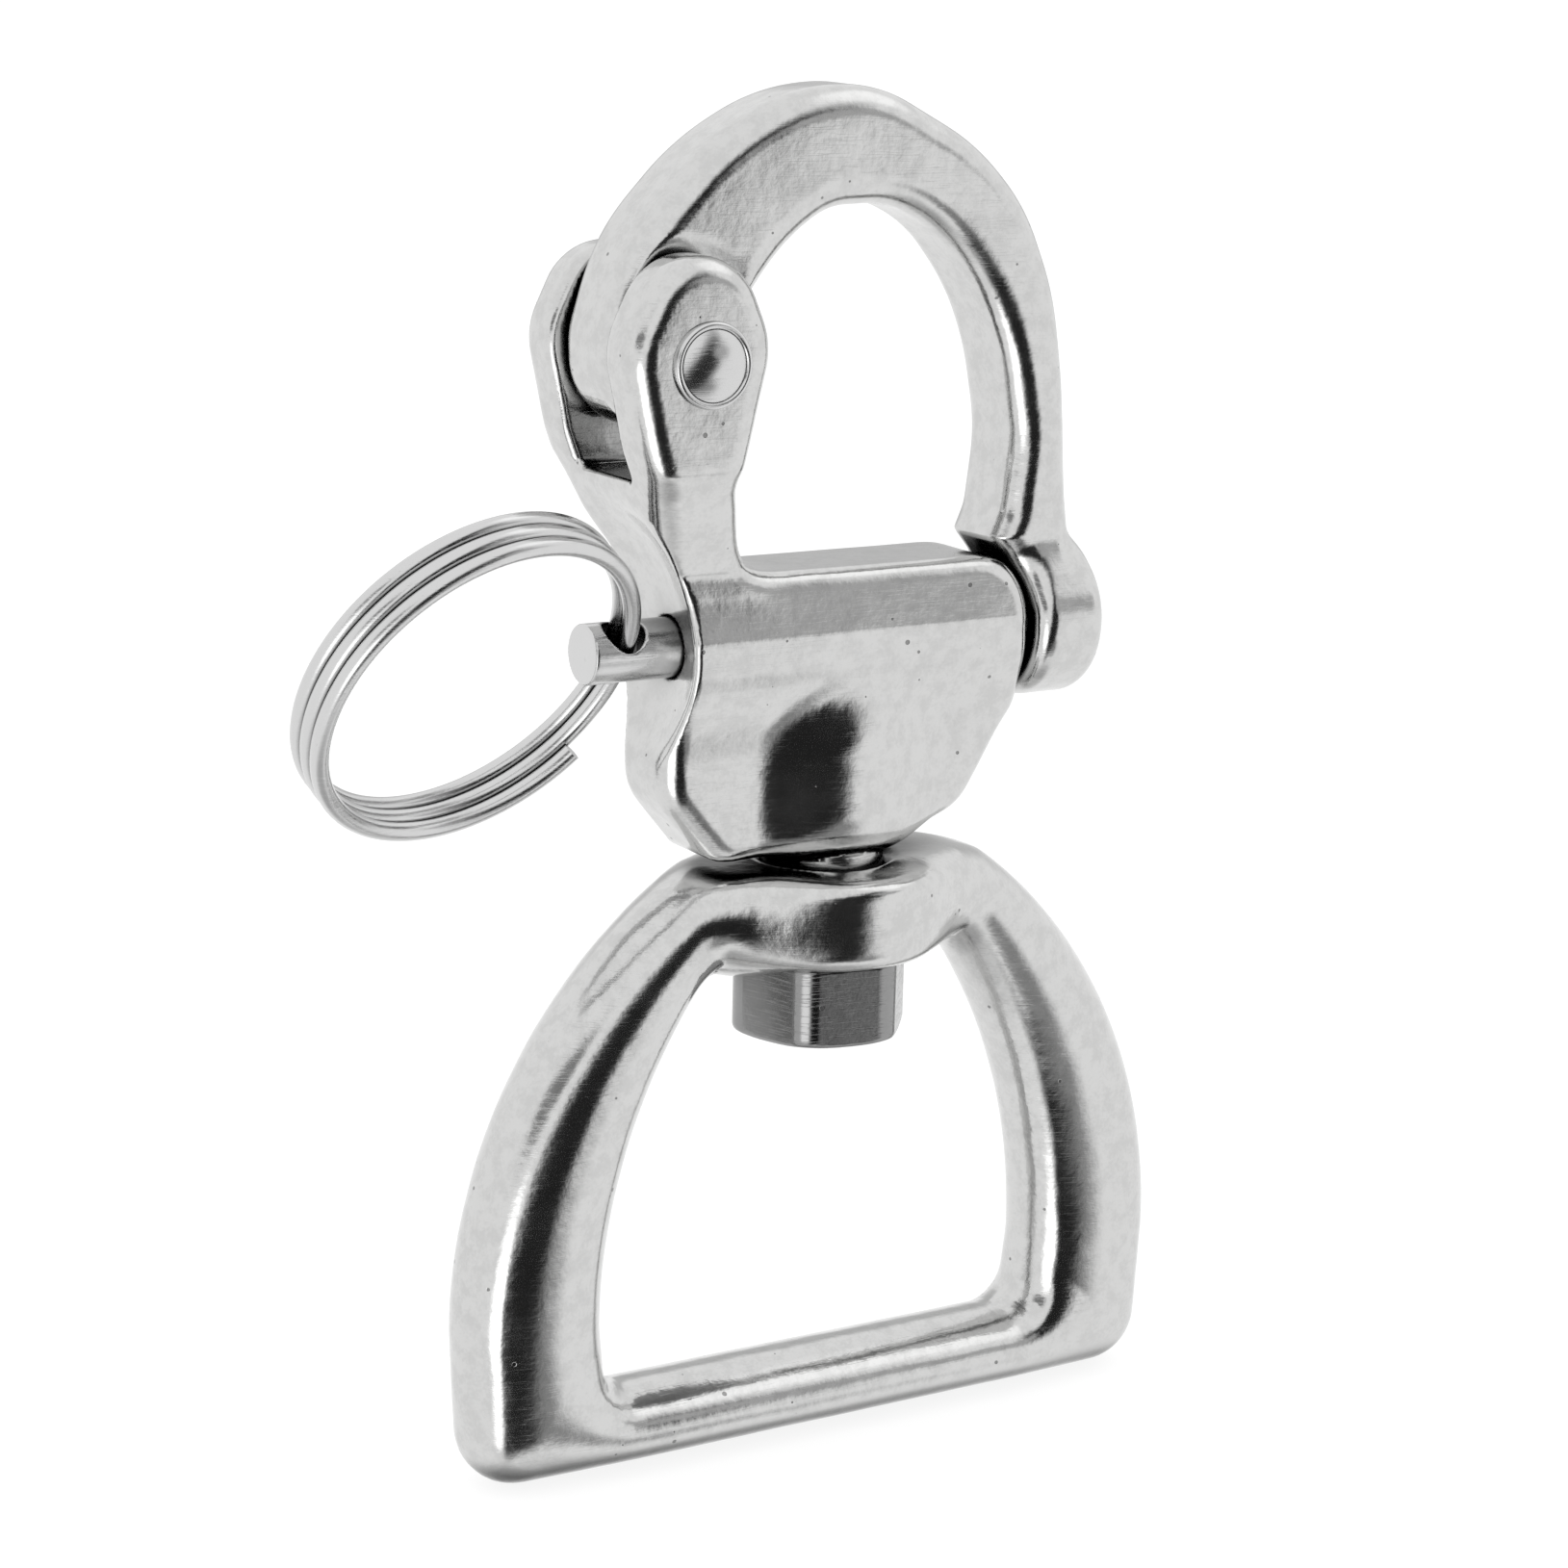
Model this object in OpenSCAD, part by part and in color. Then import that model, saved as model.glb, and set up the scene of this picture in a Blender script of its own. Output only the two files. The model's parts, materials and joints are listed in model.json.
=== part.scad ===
// Swivel snap shackle with a webbing bail, 316 stainless steel, dimensions in millimetres.
// Frame: +Z up along the swivel axis, +X towards the latch side of the jaw, -Y towards the viewer.
// Origin: on the swivel axis, in the flat underside of the webbing bar.

/* [Webbing bail] */
// Width of the D-shaped opening for webbing
slot_w = 34.4; // [32:0.2:36]
// Width of each side arm where it meets the bar
arm_w = 10.3; // [9.5:0.1:11]
// Height of the straight bar that carries the webbing
bar_h = 5.5; // [4.5:0.1:6.5]
// Thickness of the bail, front to back
bail_t = 8; // [6.5:0.1:8.5]
// Height at which the side arms start to curve inwards
spring_z = 10.5; // [9.5:0.1:11]
// Outer radius of the swivel eye
eye_r = 8.2; // [7.8:0.1:8.6]
// Height of the underside of the swivel eye
eye_z = 34.2; // [33.6:0.1:34.6]
// Height of the swivel eye
eye_h = 6.4; // [5.8:0.1:6.6]

/* [Swivel bolt] */
// Width across the flats of the hexagon head
hex_af = 11.11; // [10:0.01:11.2]
// Height of the hexagon head
hex_h = 5.6; // [4:0.1:5.8]
// Radius of the shank
shank_r = 3.175; // [2.9:0.005:3.2]

/* [Body] */
// Height of the plunger axis above the webbing bar's underside
plunger_z = 55.7; // [55.4:0.1:56]
// Half thickness of the flat lower wings
wing_half = 3.3; // [3:0.1:3.6]
// Half thickness of the barrel around the plunger
barrel_half = 4.9; // [4.7:0.1:5.2]
// Half thickness over the two hinge ears
ear_half = 7.5; // [7.2:0.1:7.8]
// Half width of the slot between the ears
slot_half = 3.6; // [3.5:0.05:3.8]

/* [Jaw] */
// Thickness of the arch, front to back
jaw_t = 7; // [6.6:0.1:7.2]
// Thickness of the tongue between the ears
tongue_t = 6.2; // [5.8:0.1:6.6]
// Radius of the latch boss at the free end
boss_r = 5.4; // [5.2:0.1:5.6]

/* [Plunger and ring] */
// Radius of the rod that carries the split ring
rod_r = 2; // [1.9:0.05:2.1]
// Radius of the nose that enters the jaw
nose_r = 3; // [2.8:0.05:3.1]
// Radius of the split ring's wire
wire_r = 0.6; // [0.5:0.02:0.62]
// Radius of the split ring, to the middle of its wire
coil_r = 11.5; // [10:0.1:12]
// How far round the split ring each free end stops short of the plunger
ring_gap = 36; // [30:1:60]
// Angle that the plunger has turned about its own axis, which leans the ring forwards
ring_lean = 32; // [0:1:34]
// Angle that the ring has swung on the plunger
ring_swing = 9; // [0:0.5:12]
// Angle that the ring has tipped upwards in its hole
ring_tip = 2.5; // [0:0.5:4]

/* [Hidden] */
$fn = 64;
run_gap = 0.05;         // radial clearance of each running fit
seat_gap = 0.02;        // radial clearance where a fastener stays put
eps = 0.01;             // overlap that keeps united shapes joined
big = 60;               // longer than any part, for cutting tools
arc_steps = 12;         // straight pieces in each rounded corner

// Hinge
hinge = [-13.7, 74.9];    // x and z of the rivet's axis
rivet_r = 2;
rivet_head_r = 2.75;
rivet_head_h = 0.9;
rivet_taper = 0.4;      // how much narrower a rivet head is at its top
rivet_round = 1.2;      // rounding of the top of a rivet head
recess_r = 7.6;         // the jaw is thinned to its tongue inside this radius
slot_floor_z = 67.3;
pad_z = 67.6;           // the ears stand proud of the neck above this height

// Body, from the left face to the latch face
left_x = -14.2;
right_x = 13.5;
bottom_z = 40.9;
boss_z = bottom_z + 0.5;  // where the swivel bolt's boss starts
crown_z = 61.2;         // top of the barrel
bolt_boss_r = 4.7;
bolt_boss_top = 53;
bolt_hole_end = 51.2;
spigot_r = 4.1;         // neck that the eye turns on
eye_gap = 0.1;          // radial clearance of the eye on that neck
eye_chamfer = 1.2;      // countersink at the top of the eye's bore

// Jaw
boss_x0 = 13.8;
boss_x1 = 19.2;
boss_step = 1;          // the boss is this much smaller, over this length, at its outer end
hole_depth = 3.2;       // how far the latch hole goes into the boss
latch_gap = 0.1;        // radial clearance of the nose in the latch hole

// Plunger, drawn back just clear of the jaw
nose_tip_x = 13.6;
shoulder_x = 2.2;       // where the rod steps up to the nose
nose_chamfer = 0.5;
bore_end_x = -9;        // the spring's seat at the blind end of the large bore
ring_x = -16.1;         // axis of the cross hole for the ring
rod_end_x = -18.6;
ring_hole_r = 2 * wire_r + 0.25;
dish_r = 13;            // hollow in the left face that the ring nests in
dish_floor_x = -12.1;

// Split ring: wire coiled side by side, nearly touching
coil_pitch = 2 * wire_r + 0.02;
half_turns = 6;         // the first and the last are cut short by the ring's gap
coil_tilt = asin(coil_pitch / 4 / coil_r);

// Spring
spring_wire_r = 0.3;
spring_turns = 6;
spring_slices = 14;     // flats per turn
spring_r = (rod_r + nose_r) / 2;
spring_x0 = bore_end_x + 0.05;
spring_length = shoulder_x - spring_x0 - 0.05;
spring_pitch = spring_length / spring_turns;

// Swivel bolt
head_top = eye_z - 0.2;
bolt_top = 50.5;
hex_turn = -10;         // where the head stopped when the bolt was tightened
hex_slope = 1.6;        // rise over run of the chamfer under the head
hex_chamfer_r = hex_af / 2 + 0.1;

// A circular arc about a centre, as points from one angle to another
function arc(centre, r, from, to) =
    [for (i = [0:arc_steps]) let (a = from + (to - from) * i / arc_steps) centre + r * [cos(a), sin(a)]];

// One corner of an outline, rounded to radius r
function corner(before, at, after, r) =
    let (
        u = (before - at) / norm(before - at),
        w = (after - at) / norm(after - at),
        half = acos(u * w) / 2,
        centre = at + (u + w) / norm(u + w) * r / sin(half),
        first = at + u * r / tan(half) - centre,
        last = at + w * r / tan(half) - centre,
        start = atan2(first.y, first.x),
        turn = atan2(last.y, last.x) - start,
        sweep = turn > 180 ? turn - 360 : turn < -180 ? turn + 360 : turn
    )
    r > 0 ? arc(centre, r, start, start + sweep) : [at];

// An outline through corners given as [x, z, corner radius]
function rounded(p) =
    let (n = len(p))
    [for (i = [0:n - 1])
        each corner([p[(i + n - 1) % n].x, p[(i + n - 1) % n].y], [p[i].x, p[i].y],
                    [p[(i + 1) % n].x, p[(i + 1) % n].y], p[i].z)];

// The same points for a shape that is symmetric about x = 0, from its right half
function both_sides(half) =
    concat(half, [for (i = [len(half) - 1:-1:0]) [-half[i].x, half[i].y, half[i].z]]);

// A slab with an outline in X and Z, centred on y = 0
module slab(points, half) {
    rotate([90, 0, 0])
        linear_extrude(2 * half, center = true)
            polygon(points);
}

// A bar along X with a cross-section in Y and Z
module bar_along_x(points, x0, x1) {
    translate([x0, 0, 0])
        rotate([90, 0, 90])
            linear_extrude(x1 - x0)
                polygon(points);
}

// A cylinder along X, from x0 to x1, on the plunger's axis
module along_x(r, x0, x1) {
    translate([x0, 0, plunger_z])
        rotate([0, 90, 0])
            cylinder(r = r, h = x1 - x0);
}

// A cylinder along Y through the hinge
module along_hinge(r, half) {
    translate([hinge.x, 0, hinge.y])
        rotate([90, 0, 0])
            cylinder(r = r, h = 2 * half, center = true);
}

// Side outline of the wings and barrel
wing_outline = rounded([
    [left_x, crown_z, 1], [left_x, 46.2, 4], [-9.8, bottom_z, 2.5], [-3, boss_z, 8], [4, boss_z, 5],
    [9.4, 43.4, 4], [right_x, 50.2, 3], [right_x, crown_z, 4.4]]);
// Side outline of the neck and the ears
ear_outline = rounded([
    [left_x, 54, 0], [-15.4, 62.2, 8], [-18.2, 69.6, 8], [-19.6, 76, 5], [-16.9, 81.6, 4.4],
    [-11.2, 81.6, 4.4], [-8.7, 76, 5], [-10.8, 67.2, 3], [-8.8, crown_z - 0.3, 6.5], [0, crown_z - 0.3, 0],
    [0, 54, 0]]);
// End outline of the wings and barrel, y and z
barrel_section = rounded(both_sides([
    [wing_half, bottom_z, 1], [wing_half, 51, 4], [barrel_half, 53.4, 2], [barrel_half, 57.4, 4],
    [barrel_half - 1, crown_z, 1.2]]));
// End outline of the neck and the ears, y and z
neck_section = rounded(both_sides([
    [barrel_half - 0.2, 54, 0], [barrel_half - 0.2, 60.5, 6], [ear_half - 1, 66.6, 2], [ear_half, pad_z, 0.4],
    [ear_half, 83, 1]]));

module body_shell() {
    intersection() {
        slab(wing_outline, big);
        bar_along_x(barrel_section, left_x - 1, right_x + 1);
    }
    intersection() {
        slab(ear_outline, big);
        bar_along_x(neck_section, -20, 0);
    }
    translate([0, 0, boss_z])
        cylinder(r = bolt_boss_r, h = bolt_boss_top - boss_z);
    translate([0, 0, head_top])
        cylinder(r = spigot_r, h = boss_z - head_top + 1);
}

module body() {
    color("silver")
    difference() {
        body_shell();
        translate([-big, -slot_half, slot_floor_z])
            cube([big, 2 * slot_half, big]);
        along_hinge(rivet_r + seat_gap, big);
        along_x(nose_r + run_gap, bore_end_x, big);
        along_x(rod_r + run_gap, -big, 0);
        translate([dish_floor_x - dish_r, 0, plunger_z])
            sphere(r = dish_r);
        translate([0, 0, head_top - 1])
            cylinder(r = shank_r + seat_gap, h = bolt_hole_end - head_top + 1);
    }
}

// Side outline of the arch, without the tongue's round end and the boss
jaw_outline = rounded([
    [-8.7, 70.2, 4], [-18.4, 70, 4.6], [-18.8, 76.2, 5], [-17, 82.3, 15], [-11.4, 88.1, 19],
    [-5.3, 91.5, 15], [1.3, 91.9, 11], [9.2, 87.9, 17], [13.2, 83.8, 14], [15.7, 78.1, 20],
    [16.7, 72, 25], [17.3, 64.3, 6], [18.2, 58, 2], [boss_x0, 57, 0.2], [boss_x0, 58.4, 2],
    [11.2, 61.6, 0.5], [12, 63.4, 3], [12.6, 68.5, 11], [11.6, 73.9, 16], [9.7, 78.4, 15],
    [6.3, 82.4, 10], [2.6, 84.2, 6.8], [-2.2, 84, 5], [-5.7, 81.7, 14], [-9.4, 76.6, 6]]);

module jaw() {
    color("silver")
    difference() {
        union() {
            slab(jaw_outline, jaw_t / 2);
            along_x(boss_r, boss_x0, boss_x1 - boss_step);
            along_x(boss_r - boss_step, boss_x1 - boss_step - eps, boss_x1);
        }
        for (side = [-1, 1])
            translate([hinge.x, side * (tongue_t + big) / 2, hinge.y])
                rotate([90, 0, 0])
                    cylinder(r = recess_r, h = big, center = true);
        along_hinge(rivet_r + run_gap, big);
        along_x(nose_r + latch_gap, boss_x0 - 1, boss_x0 + hole_depth);
    }
}

module hinge_rivet() {
    rivet_end = ear_half + rivet_head_h;
    color("gainsboro")
    translate([hinge.x, 0, hinge.y])
        rotate([90, 0, 0])
            rotate_extrude()
                polygon(rounded([
                    [0, -rivet_end, 0], [rivet_head_r - rivet_taper, -rivet_end, rivet_round],
                    [rivet_head_r, -ear_half, 0], [rivet_r, -ear_half, 0], [rivet_r, ear_half, 0],
                    [rivet_head_r, ear_half, 0], [rivet_head_r - rivet_taper, rivet_end, rivet_round],
                    [0, rivet_end, 0]]));
}

// Puts a shape made about the ring's hole into the ring's own leaning frame
module on_ring_hole() {
    translate([ring_x, 0, plunger_z])
        rotate([ring_lean, 0, 0])
            children();
}

module plunger() {
    color("silver")
    difference() {
        union() {
            along_x(rod_r, rod_end_x, shoulder_x + eps);
            along_x(nose_r, shoulder_x, nose_tip_x - nose_chamfer);
            translate([nose_tip_x - nose_chamfer - eps, 0, plunger_z])
                rotate([0, 90, 0])
                    cylinder(r1 = nose_r, r2 = nose_r - nose_chamfer, h = nose_chamfer + eps);
        }
        on_ring_hole()
            cylinder(r = ring_hole_r, h = big, center = true);
    }
}

// One edge of the spring's level cross-section: the wire's half width at an angle from its middle
function wire_edge(side, spread) =
    [for (a = [-spread:spread / 4:spread + eps])
        (spring_r + side * sqrt(max(0, pow(spring_wire_r, 2) - pow(spring_pitch * a / 360, 2))))
            * [cos(a), sin(a)]];

// A coil spring along X: the level section of a round wire, twisted once per turn
module plunger_spring() {
    spread = 360 * spring_wire_r / spring_pitch;
    outer = wire_edge(1, spread);
    inner = wire_edge(-1, spread);
    section = concat(outer, [for (i = [len(inner) - 2:-1:1]) inner[i]]);
    color("lightgray")
    translate([spring_x0, 0, plunger_z])
        rotate([0, 90, 0])
            linear_extrude(spring_length, twist = -360 * spring_turns, slices = spring_turns * spring_slices,
                           $fn = 1)
                polygon(section);
}

// A half turn of the ring's wire, tilted to climb half a pitch: the upper half when upper is true
module ring_half_turn(level, upper, sweep) {
    translate([0, 0, coil_pitch * level])
        rotate([0, upper ? coil_tilt : -coil_tilt, 0])
            rotate([0, 0, upper ? 180 - sweep : 180])
                rotate_extrude(angle = sweep, $fn = 96)
                    translate([coil_r, 0])
                        circle(r = wire_r, $fn = 32);
}

// A short core inside the wire that joins one half turn to the next
module ring_core(i) {
    translate([(i % 2 == 1 ? -1 : 1) * coil_r * cos(coil_tilt), 0, coil_pitch * (half_turns / 2 - i) / 2])
        rotate([90, 0, 0])
            cylinder(r = wire_r * 0.9, h = wire_r, center = true);
}

module split_ring() {
    color("silver")
    on_ring_hole()
        rotate([0, ring_tip, ring_swing])
            translate([-coil_r, 0, 0])
                rotate([90, 0, 0]) {
                    for (i = [0:half_turns - 1])
                        ring_half_turn((half_turns - 1 - 2 * i) / 4, i % 2 == 1,
                                       i == 0 || i == half_turns - 1 ? 180 - ring_gap : 180);
                    for (i = [1:half_turns - 1])
                        ring_core(i);
                }
}

module swivel_bolt() {
    color("darkgray") {
        translate([0, 0, head_top - hex_h])
            rotate([0, 0, hex_turn])
                intersection() {
                    cylinder(r = hex_af / 2 / cos(30), h = hex_h, $fn = 6);
                    cylinder(r1 = hex_chamfer_r, r2 = hex_chamfer_r + hex_h * hex_slope, h = hex_h);
                }
        translate([0, 0, head_top - eps])
            cylinder(r = shank_r, h = bolt_top - head_top + eps);
    }
}

// Right half of the bail's outer outline and of its opening, as corners and arcs
outer_half = slot_w / 2 + arm_w;
outer_r = 35.7;         // radius of the arms' outer sides
inner_r = 39;           // radius of the opening's sides

// The curved side of an arm: from a half width at spring_z up to a height, with no further rounding
function arm_side(half, r, top) =
    [for (p = arc([half - r, spring_z], r, 0, asin((top - spring_z) / r))) [p.x, p.y, 0]];

outer_top = arm_side(outer_half, outer_r, eye_z + eye_h);
inner_top = arm_side(slot_w / 2, inner_r, eye_z);
foot_inset = 0.6;       // how far the arms draw in at the bar, outside
slot_inset = 0.4;       // the same inside the opening
bail_outer = rounded(both_sides(concat([[outer_half - foot_inset, 0, 4]], outer_top)));
bail_inner = rounded(both_sides(concat([[slot_w / 2 - slot_inset, bar_h, 2]], inner_top)));

module webbing_bail() {
    hole_r = spigot_r + eye_gap;
    color("silver")
    difference() {
        union() {
            intersection() {
                difference() {
                    slab(bail_outer, bail_t / 2);
                    slab(bail_inner, big);
                }
                translate([0, 0, (eye_z + eye_h) / 2])
                    cube([2 * big, bail_t + 1, eye_z + eye_h], center = true);
            }
            translate([0, 0, eye_z])
                cylinder(r = eye_r, h = eye_h);
        }
        translate([0, 0, eye_z - 1])
            cylinder(r = hole_r, h = eye_h + 2);
        translate([0, 0, eye_z + eye_h - eye_chamfer])
            cylinder(r1 = hole_r, r2 = hole_r + eye_chamfer + eps, h = eye_chamfer + eps);
    }
}

body();
jaw();
hinge_rivet();
plunger();
plunger_spring();
split_ring();
swivel_bolt();
webbing_bail();
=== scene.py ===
"""Looks of a swivel snap shackle in polished cast stainless steel.

Shapes are worked out in millimetres in the row frame. Each casting is a signed distance field, negative
inside the metal, that is meshed on a grid and then drawn onto the exact surface. Turned parts are swept
profiles and wires are tubes along a path.
"""

import json
import math

import bmesh
import bpy
import numpy as np
from mathutils import Matrix, Vector


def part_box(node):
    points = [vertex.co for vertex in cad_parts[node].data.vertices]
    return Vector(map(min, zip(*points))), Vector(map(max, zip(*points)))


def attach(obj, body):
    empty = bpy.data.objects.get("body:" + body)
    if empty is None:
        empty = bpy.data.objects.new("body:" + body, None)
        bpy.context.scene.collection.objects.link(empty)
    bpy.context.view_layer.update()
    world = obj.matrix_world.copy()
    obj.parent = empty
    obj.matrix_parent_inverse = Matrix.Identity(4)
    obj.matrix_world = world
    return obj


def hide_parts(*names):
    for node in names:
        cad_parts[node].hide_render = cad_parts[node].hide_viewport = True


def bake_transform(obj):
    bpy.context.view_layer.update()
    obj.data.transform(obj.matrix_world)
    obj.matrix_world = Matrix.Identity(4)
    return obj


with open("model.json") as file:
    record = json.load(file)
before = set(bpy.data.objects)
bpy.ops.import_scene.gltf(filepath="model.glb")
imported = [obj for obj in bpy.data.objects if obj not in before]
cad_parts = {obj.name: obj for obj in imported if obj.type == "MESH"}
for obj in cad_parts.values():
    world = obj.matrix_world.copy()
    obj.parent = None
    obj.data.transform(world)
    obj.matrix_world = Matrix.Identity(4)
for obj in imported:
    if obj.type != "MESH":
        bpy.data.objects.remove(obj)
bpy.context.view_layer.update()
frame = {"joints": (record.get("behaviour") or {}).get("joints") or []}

MM = 0.001
JOINTS = {joint["name"]: joint for joint in frame["joints"]}


def box_mm(node):
    """The lowest and highest corner of a CAD node, in millimetres."""
    low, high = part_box(node)
    return np.array(low) / MM, np.array(high) / MM


def joint_mm(name):
    """A joint's position, in millimetres."""
    return np.array(JOINTS[name]["pos_m"]) / MM


# Places that the CAD fixes
bail_low, bail_high = box_mm("webbing_bail")
body_low, body_high = box_mm("body")
jaw_low, jaw_high = box_mm("jaw")
plunger_low, plunger_high = box_mm("plunger")
bolt_low, bolt_high = box_mm("swivel_bolt")
rivet_low, rivet_high = box_mm("hinge_rivet")
spring_low, spring_high = box_mm("plunger_spring")
HINGE_X, _, HINGE_Z = joint_mm("jaw_hinge")
RING_HOLE = joint_mm("ring_swing")
PLUNGER_Z = RING_HOLE[2]
LEFT_X = -14.2
RIGHT_X = body_high[0]
BOTTOM_Z = 40.9
BOSS_Z = BOTTOM_Z + 0.5
CROWN_Z = 61.2

# Webbing bail
BAIL_HALF = bail_high[0]
BAIL_HALF_T = 4.0
BAIL_CROWN = 1.9
BAIL_EDGE = 1.9
ARM_SPRING_Z = 10.5
ARM_OUTER_R = 35.7
ARM_INNER_R = 39.0
BAR_TOP = 5.5
SLOT_HALF_W = 17.2
EYE_R = bail_high[1]
EYE_BASE = 34.2
EYE_TOP = bail_high[2]
SPIGOT_R = 4.1
EYE_BORE_R = SPIGOT_R + 0.1

# Body
BODY_EDGE = 1.7
EAR_HALF = body_high[1]
BARREL_HALF = 4.9
WING_HALF = 3.3
SLOT_HALF = 3.6
SLOT_FLOOR = 67.3
PAD_Z = 67.6
BOLT_BOSS_R = 4.7
BOLT_BOSS_TOP = 51.4

# Jaw
JAW_HALF = 3.5
TONGUE_HALF = 3.1
RECESS_R = 7.6
RECESS_COVE = 2.4
BOSS_R = PLUNGER_Z - jaw_low[2]
BOSS_X0 = 13.8
BOSS_X1 = jaw_high[0]
LATCH_DEPTH = 3.2
LATCH_GAP = 0.1

# Pins
ROD_R = 2.0
NOSE_R = plunger_high[2] - PLUNGER_Z
SHOULDER_X = 2.2
BORE_END_X = -9.0
RUN_GAP = 0.05
RIVET_R = 2.0
RIVET_HEAD_R = rivet_high[0] - HINGE_X
SHANK_R = 3.175
HEAD_TOP = 34.0
HEX_AF = 11.11
HEX_TURN = -10.0
HEX_SLOPE = 1.6
HEX_CORNER = 0.9
DISH_R = 13.0
DISH_FLOOR_X = -12.1
RIVET_DOME_R = 0.82 * RIVET_HEAD_R
RIVET_DOME_RISE = 0.6
RIVET_LIP_RISE = 0.25

# Wires
WIRE_R = 0.6
COIL_PITCH = 2 * WIRE_R + 0.02
COIL_R = 11.5
RING_SWING = math.radians(9)
RING_TIP = math.radians(2.5)
RING_TURNS = 2.8
SPRING_R = (ROD_R + NOSE_R) / 2
SPRING_WIRE_R = 0.3
SPRING_TURNS = 6

RIPPLE = 0.012  # height of the waves that polishing by hand leaves in the castings
COARSE = 1.0
NORMAL_REACH = 0.1  # how far to each side a casting's slope is measured for its normals


# Outlines -----------------------------------------------------------------------------------------

def arc_points(centre, radius, start, end, chord=0.5):
    """Points along a circular arc, about one chord apart."""
    count = max(2, math.ceil(abs(end - start) * radius / chord))
    angles = np.linspace(start, end, count + 1)
    return np.stack([centre[0] + radius * np.cos(angles), centre[1] + radius * np.sin(angles)], axis=1)


def rounded(corners):
    """A closed outline through corners given as (a, b, radius)."""
    corners = np.array(corners, float)
    pieces = []
    for before, corner, after in zip(np.roll(corners, 1, 0), corners, np.roll(corners, -1, 0)):
        at, radius = corner[:2], corner[2]
        if radius <= 0:
            pieces.append(at[None])
            continue
        u = (before[:2] - at) / np.linalg.norm(before[:2] - at)
        w = (after[:2] - at) / np.linalg.norm(after[:2] - at)
        half = math.acos(np.clip(u @ w, -1, 1)) / 2
        centre = at + (u + w) / np.linalg.norm(u + w) * radius / math.sin(half)
        first = at + u * radius / math.tan(half) - centre
        last = at + w * radius / math.tan(half) - centre
        start = math.atan2(first[1], first[0])
        turn = math.remainder(math.atan2(last[1], last[0]) - start, math.tau)
        pieces.append(arc_points(centre, radius, start, start + turn))
    return np.concatenate(pieces)


def mirrored(half):
    """The corners of a shape that is symmetric about a = 0, from its right half."""
    return list(half) + [(-a, b, radius) for a, b, radius in reversed(half)]


def distance_to(outline, a, b):
    """Signed distance from (a, b) to a closed outline, negative inside."""
    shape = np.broadcast(a, b).shape
    nearest = np.full(shape, np.inf)
    inside = np.zeros(shape, bool)
    for start, end in zip(outline, np.roll(outline, -1, 0)):
        edge = end - start
        length_squared = edge @ edge
        if length_squared < 1e-12:
            continue
        da, db = a - start[0], b - start[1]
        t = np.clip((da * edge[0] + db * edge[1]) / length_squared, 0, 1)
        nearest = np.minimum(nearest, (da - t * edge[0]) ** 2 + (db - t * edge[1]) ** 2)
        if edge[1] != 0:
            inside ^= ((start[1] > b) != (end[1] > b)) & (da < edge[0] * db / edge[1])
    return np.where(inside, -1, 1) * np.sqrt(nearest)


# Fields -------------------------------------------------------------------------------------------
# The last value given to both, either, without and slab is the radius of the edge or fillet.

def both(a, b, radius):
    """Where two shapes overlap, with the edge between them rounded."""
    overlap = np.minimum(np.maximum(a, b), -radius)
    return overlap + np.hypot(np.maximum(a + radius, 0), np.maximum(b + radius, 0))


def either(a, b, radius):
    """Two shapes joined, with a fillet between them."""
    return -both(-a, -b, radius)


def without(a, b, radius):
    """Shape a with shape b cut out of it, and the edge of the cut rounded."""
    return both(a, -b, radius)


def slab(distance, across, half, radius):
    """An outline's distance drawn out to both sides of its plane."""
    return both(distance, np.abs(across) - half, radius)


def rod(a, b, along, radius, low, high, edge):
    """A round bar about an axis, between two ends, with rounded rims."""
    middle = (low + high) / 2
    return both(np.hypot(a, b) - radius, np.abs(along - middle) - (high - low) / 2, edge)


def ripple(x, y, z):
    """Low, smooth waves over a casting."""
    waves = np.sin(0.9 * x + 0.5 * z + 1.1 * y) + np.sin(0.7 * z - 0.6 * x + 1.3 * y + 1.7)
    return RIPPLE * (waves + np.sin(1.3 * z + 0.4 * x - 0.8 * y + 0.6)) / 2


wing_outline = rounded([
    (LEFT_X, CROWN_Z, 1), (LEFT_X, 46.2, 4), (-9.8, BOTTOM_Z, 2.5), (-3, BOSS_Z, 8), (4, BOSS_Z, 5),
    (9.4, 43.4, 4), (RIGHT_X, 50.2, 3), (RIGHT_X, CROWN_Z, 4.4)])
ear_outline = rounded([
    (LEFT_X, 54, 0), (-15.4, 62.2, 8), (-18.2, 69.6, 8), (-19.6, 76, 5), (-16.9, 81.6, 4.4),
    (-11.2, 81.6, 4.4), (-8.7, 76, 5), (-10.8, 67.2, 3), (-8.7, CROWN_Z - 0.4, 6), (-1, CROWN_Z - 3.2, 0),
    (-5, 54, 0)])
barrel_section = rounded(mirrored([
    (WING_HALF, BOTTOM_Z, 1), (WING_HALF, 49.6, 12), (BARREL_HALF, 54, 6), (BARREL_HALF, 56.6, 0.8),
    (BARREL_HALF - 1, CROWN_Z, 1.2)]))
neck_section = rounded(mirrored([
    (BARREL_HALF - 1.6, 54, 0), (BARREL_HALF - 1.4, 59.6, 4), (EAR_HALF - 1, 66.3, 2),
    (EAR_HALF, PAD_Z + 0.4, 1.6), (EAR_HALF, 83, 1)]))
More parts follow.
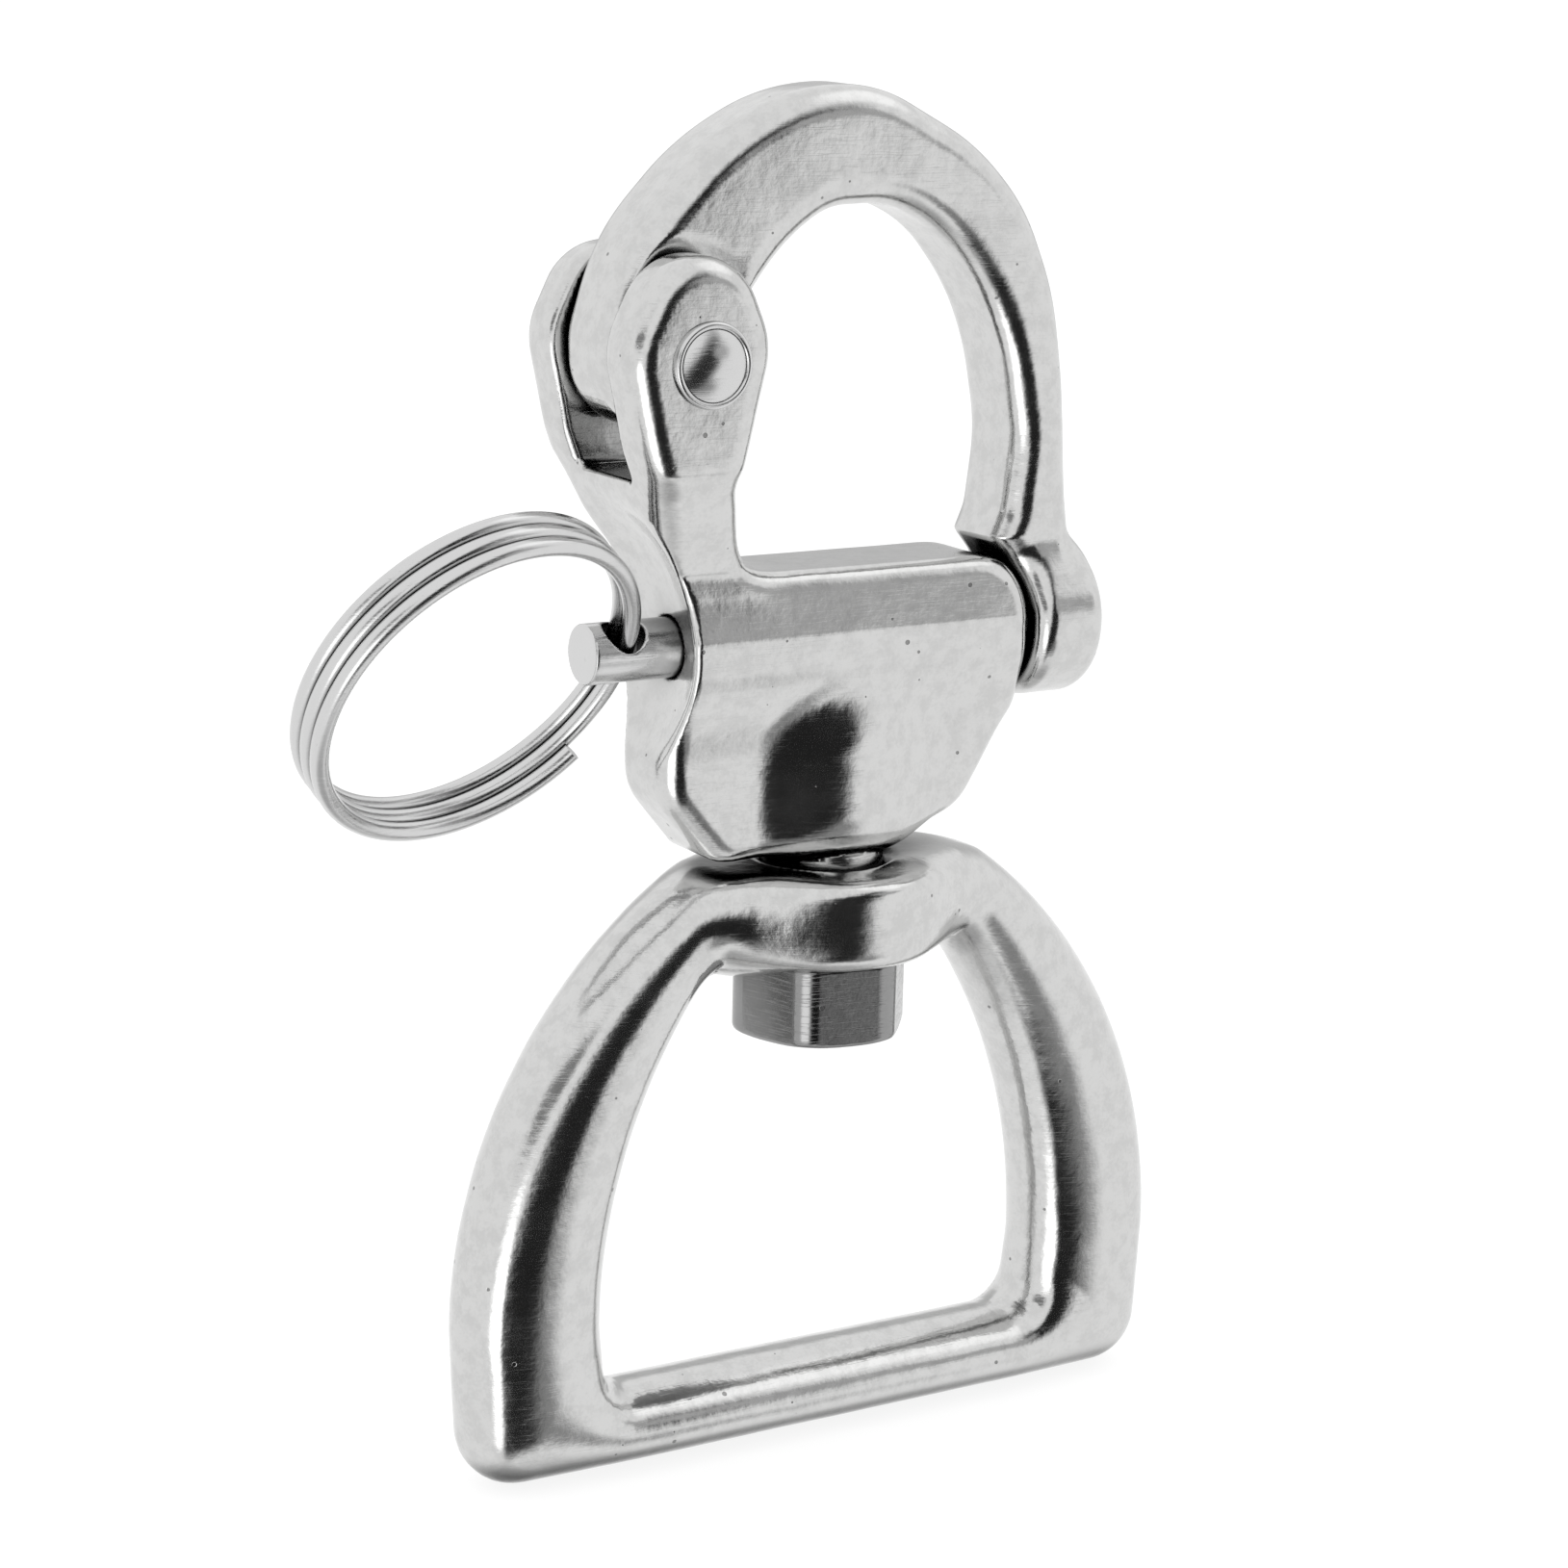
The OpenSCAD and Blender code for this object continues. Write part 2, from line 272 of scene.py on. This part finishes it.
jaw_outline = rounded([
    (-8.7, 70.2, 4), (-18.4, 70, 4.6), (-18.8, 76.2, 5), (-17, 82.3, 15), (-11.4, 88.1, 19),
    (-5.3, 91.5, 15), (1.3, 91.9, 11), (9.2, 87.9, 17), (13.2, 83.8, 14), (15.7, 78.1, 20),
    (16.7, 72, 25), (17.3, 64.3, 6), (18.2, 58, 2), (BOSS_X0, 57, 0.2), (BOSS_X0, 58.4, 2),
    (11.2, 61.6, 0.5), (12, 63.4, 3), (12.6, 68.5, 11), (11.6, 73.9, 16), (9.7, 78.4, 15),
    (6.3, 82.4, 10), (2.6, 84.2, 6.8), (-2.2, 84, 5), (-5.7, 81.7, 14), (-9.4, 76.6, 6)])


def half_arch(foot, half, radius, top_z):
    """The right half of a D: a rounded foot, then an arc from its half width up to a height."""
    end = math.asin((top_z - ARM_SPRING_Z) / radius)
    arc = arc_points((half - radius, ARM_SPRING_Z), radius, 0, end)
    return [foot] + [(a, b, 0) for a, b in arc]


bail_outline = rounded(mirrored(half_arch(
    (BAIL_HALF - 0.6, 0, 4), BAIL_HALF, ARM_OUTER_R, EYE_TOP + 1)))
bail_opening = rounded(mirrored(half_arch(
    (SLOT_HALF_W - 0.4, BAR_TOP, 2), SLOT_HALF_W, ARM_INNER_R, EYE_BASE)))


def bail_field(x, y, z):
    """The D-shaped bail with its swivel eye."""
    outer = distance_to(bail_outline, x, z)
    inner = -distance_to(bail_opening, x, z)
    across = np.clip((inner - outer) / np.minimum(inner + outer, -1), -1, 1)
    loop = slab(np.maximum(outer, inner), y, BAIL_HALF_T - BAIL_CROWN * across ** 2, BAIL_EDGE)
    loop = both(loop, z - EYE_TOP, 1.2)
    eye = rod(x, y, z, EYE_R, EYE_BASE, EYE_TOP, 1.3)
    metal = either(loop, eye, 4.0)
    metal = both(metal, z - EYE_TOP, 1.0)
    bore = np.maximum(np.hypot(x, y) - EYE_BORE_R, EYE_BASE - 1 - z)
    return without(metal, bore, 1.1) + ripple(x, y, z)


def body_field(x, y, z):
    """The housing: wings and barrel, neck and ears, and the boss for the swivel bolt."""
    wings = both(distance_to(wing_outline, x, z), distance_to(barrel_section, y, z), BODY_EDGE)
    ears = both(distance_to(ear_outline, x, z), distance_to(neck_section, y, z), BODY_EDGE)
    ears = without(ears, both(np.abs(y) - SLOT_HALF, SLOT_FLOOR - z, 0.6), 0.7)
    boss = rod(x, y, z, BOLT_BOSS_R, BOSS_Z, BOLT_BOSS_TOP, 3.0)
    metal = either(either(wings, ears, 1.2), boss, 3.5)
    metal = metal + ripple(x, y, z)
    dish = np.sqrt((x - DISH_FLOOR_X + DISH_R) ** 2 + y ** 2 + (z - PLUNGER_Z) ** 2) - DISH_R
    metal = without(metal, dish, 0.5)
    metal = np.minimum(metal, rod(x, y, z, SPIGOT_R, HEAD_TOP, BOSS_Z + 1, 0))
    off_axis = np.hypot(y, z - PLUNGER_Z)
    metal = without(metal, np.maximum(off_axis - NOSE_R - RUN_GAP, BORE_END_X - x), 0.15)
    metal = without(metal, np.maximum(off_axis - ROD_R - RUN_GAP, x), 0.15)
    metal = np.maximum(metal, RIVET_R - np.hypot(x - HINGE_X, z - HINGE_Z))
    return np.maximum(metal, -np.maximum(np.hypot(x, y) - SHANK_R - RUN_GAP, z - bolt_high[2] - 0.5))


def jaw_field(x, y, z):
    """The arched jaw: a thin tongue at the hinge and a boss with the latch hole at the free end."""
    arch = slab(distance_to(jaw_outline, x, z), y, JAW_HALF, 2.0)
    boss = rod(y, z - PLUNGER_Z, x, BOSS_R, BOSS_X0, BOSS_X1, 1.3)
    metal = either(arch, boss, 1.6)
    off_hinge = np.hypot(x - HINGE_X, z - HINGE_Z)
    cove = np.maximum(off_hinge - RECESS_R + RECESS_COVE, 0) / RECESS_COVE
    tongue = np.abs(y) - TONGUE_HALF - (JAW_HALF - TONGUE_HALF) * cove ** 2
    metal = both(metal, tongue, 0.15) + ripple(x, y, z)
    metal = np.maximum(metal, RIVET_R + RUN_GAP - off_hinge)
    off_latch = np.hypot(y, z - PLUNGER_Z)
    latch_hole = np.maximum(off_latch - NOSE_R - LATCH_GAP, x - BOSS_X0 - LATCH_DEPTH)
    return without(metal, latch_hole, 0.3)


def plunger_field(x, y, z):
    """The locking pin: a nose, a thinner rod and a cross hole for the ring."""
    dz = z - PLUNGER_Z
    nose = rod(y, dz, x, NOSE_R, SHOULDER_X, plunger_high[0], 0.5)
    shaft = rod(y, dz, x, ROD_R, plunger_low[0], SHOULDER_X + 0.5, 0.18)
    axis = Vector(JOINTS["ring_swing"]["axis"])
    along = y * axis.y + dz * axis.z
    off_hole = np.sqrt(np.maximum((x - RING_HOLE[0]) ** 2 + y ** 2 + dz ** 2 - along ** 2, 0))
    return without(np.minimum(nose, shaft), off_hole - 2 * WIRE_R - 0.25, 0.2)


def bolt_field(x, y, z):
    """The swivel bolt: a hexagon head with a turned underside, and its shank."""
    angles = np.radians(HEX_TURN + 30 + 60 * np.arange(3))
    first, second, third = (np.abs(x * math.cos(a) + y * math.sin(a)) - HEX_AF / 2 for a in angles)
    hexagon = both(both(first, second, HEX_CORNER), third, HEX_CORNER)
    height = bolt_low[2]
    head = both(hexagon, np.maximum(height - z, z - HEAD_TOP), 0.3)
    cone = (np.hypot(x, y) - HEX_AF / 2 - 0.1 - HEX_SLOPE * (z - height)) / math.hypot(1, HEX_SLOPE)
    head = both(head, cone, 0.3)
    return np.minimum(head, rod(x, y, z, SHANK_R, HEAD_TOP - 1, bolt_high[2], 0.4))


# Meshes -------------------------------------------------------------------------------------------

CELL_CORNERS = [(i, j, k) for i in (0, 1) for j in (0, 1) for k in (0, 1)]
CELL_EDGES = [(a, b) for a in CELL_CORNERS for b in CELL_CORNERS
              if sum(b) - sum(a) == 1 and sum(p != q for p, q in zip(a, b)) == 1]


def cell_corner(grid, corner):
    """The value at one corner of every cell."""
    return grid[tuple(slice(step, step + size - 1) for step, size in zip(corner, grid.shape))]


def grid_mesh(field, low, high, cell):
    """Vertices and four-sided faces where a field changes sign."""
    axes = [np.arange(start - 1.5 * cell, end + 2.5 * cell, cell) for start, end in zip(low, high)]
    values = field(*np.meshgrid(*axes, indexing="ij", sparse=True))
    inside = values < 0
    filled = sum(cell_corner(inside, corner).astype(np.int8) for corner in CELL_CORNERS)
    cells = np.argwhere((filled > 0) & (filled < 8))
    number = np.full(filled.shape, -1)
    number[tuple(cells.T)] = np.arange(len(cells))
    total = np.zeros((len(cells), 3))
    hits = np.zeros(len(cells))
    for a, b in CELL_EDGES:
        va = cell_corner(values, a)[tuple(cells.T)]
        vb = cell_corner(values, b)[tuple(cells.T)]
        cut = (va < 0) != (vb < 0)
        t = np.where(cut, va / np.where(cut, va - vb, 1), 0)
        total += cut[:, None] * (np.array(a) + t[:, None] * (np.array(b) - np.array(a)))
        hits += cut
    vertices = np.array([axis[0] for axis in axes]) + (cells + total / hits[:, None]) * cell
    faces = [axis_faces(inside, number, axis) for axis in range(3)]
    return vertices, np.concatenate(faces)


def axis_faces(inside, number, axis):
    """One face round each grid edge along an axis that crosses the surface."""
    u, v = (axis + 1) % 3, (axis + 2) % 3
    near = [slice(1, -1)] * 3
    near[axis] = slice(0, -1)
    far = list(near)
    far[axis] = slice(1, None)
    starts = inside[tuple(near)]
    ends = inside[tuple(far)]
    at = np.argwhere(starts != ends) + np.array([int(i != axis) for i in range(3)])
    step_u, step_v = np.eye(3, dtype=int)[u], np.eye(3, dtype=int)[v]
    ring = [at - step_u - step_v, at - step_v, at, at - step_u]
    face = np.stack([number[tuple(corner.T)] for corner in ring], axis=1)
    leaving = inside[tuple(at.T)]
    return np.where(leaving[:, None], face, face[:, ::-1])


def slope(field, points, step):
    """The field's gradient at points, measured one step to each side."""
    x, y, z = points.T
    return np.stack([
        field(x + step, y, z) - field(x - step, y, z),
        field(x, y + step, z) - field(x, y - step, z),
        field(x, y, z + step) - field(x, y, z - step)], axis=1) / (2 * step)


def draw_on(field, points, rounds=2, step=0.06, furthest=0.2):
    """Points moved onto the surface, and the unit normals there."""
    for _ in range(rounds):
        gradient = slope(field, points, step)
        steepness = np.maximum((gradient ** 2).sum(1), 0.2)
        shift = np.clip(field(*points.T) / steepness, -furthest, furthest)
        points = points - gradient * shift[:, None]
    normals = slope(field, points, NORMAL_REACH)
    return points, normals / np.maximum(np.linalg.norm(normals, axis=1), 1e-6)[:, None]


def new_object(name, data):
    """An object in the scene."""
    made = bpy.data.objects.new(name, data)
    bpy.context.scene.collection.objects.link(made)
    return made


def add_mesh(name, vertices, faces, normals=None):
    """A smooth mesh object from vertices in millimetres; without normals, its sharp edges stay sharp."""
    mesh = bpy.data.meshes.new(name)
    mesh.from_pydata((vertices * MM).tolist(), [], faces)
    mesh.validate()
    mesh.shade_smooth()
    if normals is None:
        mesh.set_sharp_from_angle(angle=math.radians(40))
    else:
        mesh.normals_split_custom_set_from_vertices(normals.tolist())
    return new_object(name, mesh)


def field_piece(name, field, node, cell):
    """A mesh of a field, inside the box of a CAD node, on a grid of cells this size."""
    vertices, faces = grid_mesh(field, *box_mm(node), cell * COARSE)
    vertices, normals = draw_on(field, vertices)
    return add_mesh(name, vertices, faces.tolist(), normals)


def tube(name, path, radius, sides=24):
    """A round wire along a path, with flat ends."""
    path = np.asarray(path)
    tangent = np.gradient(path, axis=0)
    tangent /= np.linalg.norm(tangent, axis=1)[:, None]
    normal = np.cross(tangent[0], (0.3, 0.5, 0.8))
    rings = []
    angles = np.linspace(0, math.tau, sides, endpoint=False)
    for point, along in zip(path, tangent):
        normal = normal - along * (normal @ along)
        normal /= np.linalg.norm(normal)
        side = np.cross(along, normal)
        rings.append(point + radius * (np.outer(np.cos(angles), normal) + np.outer(np.sin(angles), side)))
    vertices = np.concatenate(rings)
    start = np.arange(len(path) - 1)[:, None] * sides
    here = np.arange(sides)[None]
    there = (here + 1) % sides
    quads = np.stack([start + here, start + there, start + sides + there, start + sides + here], axis=-1)
    faces = quads.reshape(-1, 4).tolist()
    faces.append(list(range(sides))[::-1])
    faces.append(list(range(len(vertices) - sides, len(vertices))))
    return add_mesh(name, vertices, faces)


def lathe(name, profile, segments=128):
    """A solid turned about the hinge's axis, from (radius, y) points with both ends on the axis."""
    inner = np.asarray(profile)[1:-1]
    angles = np.linspace(0, math.tau, segments, endpoint=False)
    vertices = [(HINGE_X, profile[0][1], HINGE_Z)]
    for radius, y in inner:
        vertices += [(HINGE_X + radius * math.cos(a), y, HINGE_Z + radius * math.sin(a)) for a in angles]
    vertices.append((HINGE_X, profile[-1][1], HINGE_Z))
    last = len(vertices) - 1
    faces = [[0, 1 + i, 1 + (i + 1) % segments] for i in range(segments)]
    for row in range(len(inner) - 1):
        start = 1 + row * segments
        for i in range(segments):
            j = (i + 1) % segments
            faces.append([start + i, start + segments + i, start + segments + j, start + j])
    start = 1 + (len(inner) - 1) * segments
    faces += [[start + (i + 1) % segments, start + i, last] for i in range(segments)]
    return add_mesh(name, np.array(vertices), faces)


# Pieces -------------------------------------------------------------------------------------------

def rivet_profile():
    """Half of a rivet head, from the middle of its dome out over the low rim and in to the pin."""
    top = rivet_high[1]
    groove = top - RIVET_DOME_RISE - 0.15
    dome = [(r, top - RIVET_DOME_RISE * (r / RIVET_DOME_R) ** 2) for r in np.linspace(0, RIVET_DOME_R, 20)]
    lip_r = (RIVET_HEAD_R - RIVET_DOME_R) / 2
    lip = [(RIVET_DOME_R + lip_r - lip_r * math.cos(a), groove + RIVET_LIP_RISE * math.sin(a))
           for a in np.radians(np.linspace(20, 180, 12))]
    seat = EAR_HALF - 0.1
    return dome + lip + [(RIVET_HEAD_R, seat), (RIVET_R, seat)]


def make_rivet():
    """The hinge rivet with a domed head on each side."""
    front = rivet_profile()
    back = [(radius, -y) for radius, y in reversed(front)]
    return lathe("hinge_rivet_turned", front + back)


def make_split_ring():
    """A pull ring of wire coiled side by side for nearly three turns, with both ends cut square."""
    axis = Vector(JOINTS["ring_swing"]["axis"])
    lean = math.atan2(-axis.y, axis.z)
    place = (Matrix.Translation(RING_HOLE) @ Matrix.Rotation(lean, 4, "X")
             @ Matrix.Rotation(RING_SWING, 4, "Z") @ Matrix.Rotation(RING_TIP, 4, "Y")
             @ Matrix.Translation((-COIL_R, 0, 0)))
    half = RING_TURNS / 2
    path = []
    for turn in np.linspace(-half, half, round(150 * RING_TURNS)):
        angle = math.pi - math.tau * turn
        path.append(place @ Vector((COIL_R * math.cos(angle), COIL_PITCH * turn, COIL_R * math.sin(angle))))
    return tube("split_ring_coil", path, WIRE_R)


def make_spring():
    """The plunger's coil spring."""
    start = spring_low[0] + SPRING_WIRE_R
    end = spring_high[0] - SPRING_WIRE_R
    path = []
    for t in np.linspace(0, 1, 60 * SPRING_TURNS):
        angle = math.tau * SPRING_TURNS * t
        path.append((start + (end - start) * t, SPRING_R * math.cos(angle),
                     PLUNGER_Z + SPRING_R * math.sin(angle)))
    return tube("plunger_spring_wire", path, SPRING_WIRE_R, 12)


# Materials ----------------------------------------------------------------------------------------

class Graph:
    """The nodes of one shader, added and linked by short calls."""

    def __init__(self, tree):
        self.tree = tree
        tree.nodes.clear()

    def add(self, kind, values=None, **settings):
        node = self.tree.nodes.new(kind)
        for key, value in settings.items():
            setattr(node, key, value)
        for key, value in (values or {}).items():
            if isinstance(value, bpy.types.NodeSocket):
                self.tree.links.new(value, node.inputs[key])
            else:
                node.inputs[key].default_value = value
        return node

    def math(self, operation, *values, clamp=False):
        node = self.add("ShaderNodeMath", dict(enumerate(values)), operation=operation, use_clamp=clamp)
        return node.outputs[0]

    def ramp(self, value, low, high, to_low=0.0, to_high=1.0):
        """A smooth step from to_low to to_high as a value goes from low to high."""
        node = self.add("ShaderNodeMapRange", {
            "Value": value, "From Min": low, "From Max": high, "To Min": to_low, "To Max": to_high},
            interpolation_type="SMOOTHSTEP")
        return node.outputs["Result"]

    def mix(self, factor, a, b, kind="FLOAT"):
        """A blend from a to b, which sit in later sockets when they are colours than when numbers."""
        first, result = (6, 2) if kind == "RGBA" else (2, 0)
        return self.add("ShaderNodeMix", {0: factor, first: a, first + 1: b}, data_type=kind).outputs[result]

    def output(self, shader, kind="ShaderNodeOutputMaterial"):
        self.add(kind, {"Surface": shader})


def new_graph(name):
    """A material and the graph of its nodes."""
    material = bpy.data.materials.new(name)
    material.use_nodes = True
    return material, Graph(material.node_tree)


def noise(graph, place, scale, detail):
    """Smooth random values round 0.5."""
    return graph.add("ShaderNodeTexNoise", {"Vector": place, "Scale": scale, "Detail": detail}).outputs["Fac"]


def casting_pits(graph, place):
    """1 inside small round pits, scattered in groups, and 0 elsewhere."""
    spots = graph.add("ShaderNodeTexVoronoi", {"Vector": place, "Scale": 0.9}).outputs["Distance"]
    pit_r = graph.ramp(noise(graph, place, 0.5, 1.0), 0.5, 0.75, 0.0, 0.18)
    return graph.ramp(graph.math("SUBTRACT", pit_r, spots), 0.0, 0.03)


def polishing_scratches(graph, place):
    """1 on fine lines that run one way, and 0 between them."""
    lines = graph.add("ShaderNodeMapping", {
        "Vector": place, "Rotation": (0.5, 0.3, 0.2), "Scale": (0.4, 0.4, 14)}).outputs["Vector"]
    return graph.ramp(noise(graph, lines, 1.0, 3.0), 0.55, 0.7)


def steel(name, tone, roughness, casting, brushed):
    """Polished steel; casting and brushed run from 0 to 1, for how cast and how scratched it looks."""
    material, graph = new_graph(name)
    place = graph.add("ShaderNodeTexCoord").outputs["Object"]
    place = graph.add("ShaderNodeMapping", {"Vector": place, "Scale": (1 / MM,) * 3}).outputs["Vector"]
    mottle = noise(graph, place, 0.9, 4.0)
    grain = noise(graph, place, 4.0, 2.0)
    pit = graph.math("MULTIPLY", casting_pits(graph, place), casting)

    # Relief
    relief = graph.math("MULTIPLY", mottle, 2.2 * casting)
    relief = graph.math("ADD", relief, graph.math("MULTIPLY", grain, 0.25))
    scratches = graph.math("MULTIPLY", polishing_scratches(graph, place), brushed)
    relief = graph.math("SUBTRACT", relief, scratches)
    relief = graph.math("SUBTRACT", relief, graph.math("MULTIPLY", pit, 2.0))
    bump = graph.add("ShaderNodeBump", {"Height": relief, "Strength": 0.3, "Distance": 0.04 * MM})

    # Colour: darker in pits and in blotches of tarnish, and painted shade deep in crevices
    blotches = graph.math("ADD", mottle, graph.math("MULTIPLY", grain, 0.5))
    tarnish = graph.math("MULTIPLY", graph.ramp(blotches, 0.6, 0.95, 0.0, 0.1), casting)
    # Painted shade: ambient occlusion turns the colour near black in crevices and slots, where shade falls
    open_sky = graph.add("ShaderNodeAmbientOcclusion", {"Distance": 7 * MM}).outputs["AO"]
    crevice_shade = graph.ramp(open_sky, 0.15, 0.65, 0.92, 0.0)
    dark = graph.math("MAXIMUM", graph.math("MULTIPLY", pit, 0.6), tarnish)
    dark = graph.math("MAXIMUM", dark, crevice_shade)
    shade = graph.mix(dark, (*tone, 1.0), (0.02, 0.02, 0.02, 1.0), "RGBA")

    sheen = graph.ramp(noise(graph, place, 0.3, 3.0), 0.3, 0.7, roughness * 0.8, roughness * 1.25)
    shader = graph.add("ShaderNodeBsdfPrincipled", {
        "Base Color": shade, "Metallic": 1.0, "Roughness": sheen, "Normal": bump.outputs[0]})
    graph.output(shader.outputs[0])
    return material


# The look of each material slot
LOOKS = {
    "cast_steel": steel("polished_casting", (0.66, 0.66, 0.655), 0.13, casting=1.0, brushed=0.15),
    "turned_steel": steel("turned_bar", (0.66, 0.66, 0.66), 0.18, casting=0.1, brushed=0.3),
    # The bolt's tone is painted dark to stand in for the shade and dark reflections on the hex head
    "bolt_steel": steel("bolt_painted_dark", (0.30, 0.30, 0.30), 0.13, casting=0.4, brushed=0.8),
    "wire_steel": steel("drawn_wire", (0.66, 0.66, 0.66), 0.2, casting=0.1, brushed=0.3),
}


def dress(piece, slot, node):
    """Gives a piece the look of its material slot and hides the CAD node that it stands for."""
    piece.data.materials.append(LOOKS[slot])
    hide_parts(node)


def finish_piece(piece, slot, body, node):
    """Dresses a piece and sets it on its body."""
    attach(piece, body)
    dress(piece, slot, node)


def finish_spring(piece, slot):
    """Dresses the spring, which lies between its seat in the housing and the plunger's shoulder, and bakes
    its placement into its mesh.
    """
    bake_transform(piece)
    dress(piece, slot, "plunger_spring")


# Studio -------------------------------------------------------------------------------------------

def make_floor():
    """A plain white floor that shows only a faint shadow."""
    mesh = bpy.data.meshes.new("floor")
    size = 30.0
    level = bail_low[2] * MM - 0.0002
    corners = [(-size, -size, level), (size, -size, level), (size, size, level), (-size, size, level)]
    mesh.from_pydata(corners, [], [(0, 1, 2, 3)])
    floor = new_object("floor", mesh)
    material, graph = new_graph("floor_white")
    cloud = graph.add("ShaderNodeTexNoise", {"Scale": 3.0}).outputs["Fac"]
    tone = graph.ramp(cloud, 0.0, 1.0, 1.08, 1.12)
    glow = graph.add("ShaderNodeEmission", {"Strength": tone})
    paper = graph.add("ShaderNodeBsdfDiffuse", {"Color": (1.0, 1.0, 1.0, 1.0)})
    shader = graph.add("ShaderNodeMixShader", {0: 0.2, 1: glow.outputs[0], 2: paper.outputs[0]})
    graph.output(shader.outputs[0])
    mesh.materials.append(material)
    floor.visible_glossy = False


# What the polished metal reflects, as soft ellipses on the dome, each painted over the ones before:
# azimuth, elevation, half width, half height and lean to the right in degrees, softness, brightness.
SURROUNDINGS = [
    (0, -90, 400, 26, 0, 0.5, 0.5),         # the table under the part
    (60, 10, 30, 14, 0, 0.5, 0.6),          # the far side of the room
    (-10, 56, 34, 16, 0, 0.4, 1.35),        # lamp above, to the right
    (-146, 18, 17, 9, 0, 0.4, 0.25),        # dark flag on the left
    (-84, -33, 24, 13, 0, 0.5, 0.3),        # the table's edge below the camera
    (-90, -4, 19, 56, 35, 0.35, 0.02),      # the camera and the dark room behind it
    (-57, 19, 15, 10, 0, 0.45, 0.5),        # the photographer's arm
    (-138, -20, 14, 16, 0, 0.35, 2.2),      # lamp low on the left
]
DOME_CENTRE = (0.0, 0.0, 0.046)
DOME_RADIUS = 0.35


def soft_patch(graph, azimuth, elevation, patch):
    """How far a direction is inside a soft-edged ellipse on the dome, from 0 to 1."""
    at_azimuth, at_elevation, half_width, half_height, lean, softness, _ = patch
    across = graph.math("WRAP", graph.math("SUBTRACT", azimuth, at_azimuth), 180.0, -180.0)
    above = graph.math("SUBTRACT", elevation, at_elevation)
    cos, sin = math.cos(math.radians(lean)), math.sin(math.radians(lean))
    u = graph.math("SUBTRACT", graph.math("MULTIPLY", across, cos), graph.math("MULTIPLY", above, sin))
    v = graph.math("ADD", graph.math("MULTIPLY", across, sin), graph.math("MULTIPLY", above, cos))
    u = graph.math("POWER", graph.math("ABSOLUTE", graph.math("DIVIDE", u, half_width)), 2.0)
    v = graph.math("POWER", graph.math("ABSOLUTE", graph.math("DIVIDE", v, half_height)), 2.0)
    distance = graph.math("SQRT", graph.math("ADD", u, v))
    return graph.ramp(distance, 1 - softness, 1 + softness, 1.0, 0.0)


def make_surroundings():
    """A white dome with a few lamps and dark patches that only shows in reflections."""
    material, graph = new_graph("surroundings")
    place = graph.add("ShaderNodeTexCoord").outputs["Object"]
    x, y, z = graph.add("ShaderNodeSeparateXYZ", {"Vector": place}).outputs
    flat = graph.math("SQRT", graph.math("ADD", graph.math("MULTIPLY", x, x), graph.math("MULTIPLY", y, y)))
    azimuth = graph.math("DEGREES", graph.math("ARCTAN2", y, x))
    elevation = graph.math("DEGREES", graph.math("ARCTAN2", z, flat))
    level = 1.0
    for patch in SURROUNDINGS:
        mask = soft_patch(graph, azimuth, elevation, patch)
        level = graph.mix(mask, level, patch[-1])
    graph.output(graph.add("ShaderNodeEmission", {"Strength": level}).outputs[0])
    material.cycles.emission_sampling = "NONE"
    ball = bmesh.new()
    bmesh.ops.create_uvsphere(ball, u_segments=64, v_segments=32, radius=DOME_RADIUS)
    mesh = bpy.data.meshes.new("surroundings")
    ball.to_mesh(mesh)
    ball.free()
    mesh.materials.append(material)
    dome = new_object("surroundings", mesh)
    dome.location = DOME_CENTRE
    dome.visible_camera = False
    dome.visible_diffuse = False
    dome.visible_shadow = False
    dome.visible_transmission = False


# The photographed view
CAMERA = (-0.131, -0.207, 0.1027)
CAMERA_YAW = math.radians(-31.7)
CAMERA_DOWN = math.radians(13.2)
CAMERA_ROLL = math.radians(1.4)
LENS = 85.94


def make_camera():
    """A camera at the photographed angle."""
    level_back = Vector((math.sin(CAMERA_YAW), -math.cos(CAMERA_YAW), 0))
    back = level_back * math.cos(CAMERA_DOWN) + Vector((0, 0, math.sin(CAMERA_DOWN)))
    right = Vector((math.cos(CAMERA_YAW), math.sin(CAMERA_YAW), 0))
    up = back.cross(right)
    roll = Matrix.Rotation(CAMERA_ROLL, 3, back)
    data = bpy.data.cameras.new("camera")
    data.lens = LENS
    data.clip_start = 0.01
    camera = new_object("camera", data)
    turn = Matrix((roll @ right, roll @ up, back)).transposed()
    camera.matrix_world = Matrix.Translation(CAMERA) @ turn.to_4x4()
    bpy.context.scene.camera = camera


def make_world():
    """An even white sky."""
    world = bpy.data.worlds.new("studio")
    bpy.context.scene.world = world
    world.use_nodes = True
    graph = Graph(world.node_tree)
    shader = graph.add("ShaderNodeBackground", {"Color": (1.0, 1.0, 1.0, 1.0), "Strength": 1.1})
    graph.output(shader.outputs[0], "ShaderNodeOutputWorld")


# Piece, its field, the CAD node that it stands for, grid cell in millimetres, material slot, body
FIELD_PIECES = [
    ("webbing_bail_cast", bail_field, "webbing_bail", 0.34, "cast_steel", "bail"),
    ("body_cast", body_field, "body", 0.3, "cast_steel", "housing"),
    ("jaw_cast", jaw_field, "jaw", 0.25, "cast_steel", "jaw"),
    ("plunger_turned", plunger_field, "plunger", 0.14, "turned_steel", "plunger"),
    ("swivel_bolt_forged", bolt_field, "swivel_bolt", 0.18, "bolt_steel", "housing"),
]
for name, field, node, cell, slot, body in FIELD_PIECES:
    finish_piece(field_piece(name, field, node, cell), slot, body, node)
finish_piece(make_rivet(), "turned_steel", "housing", "hinge_rivet")
finish_piece(make_split_ring(), "wire_steel", "ring", "split_ring")
finish_spring(make_spring(), "wire_steel")

make_floor()
make_surroundings()
make_world()
make_camera()
bpy.context.scene.view_settings.view_transform = "Standard"
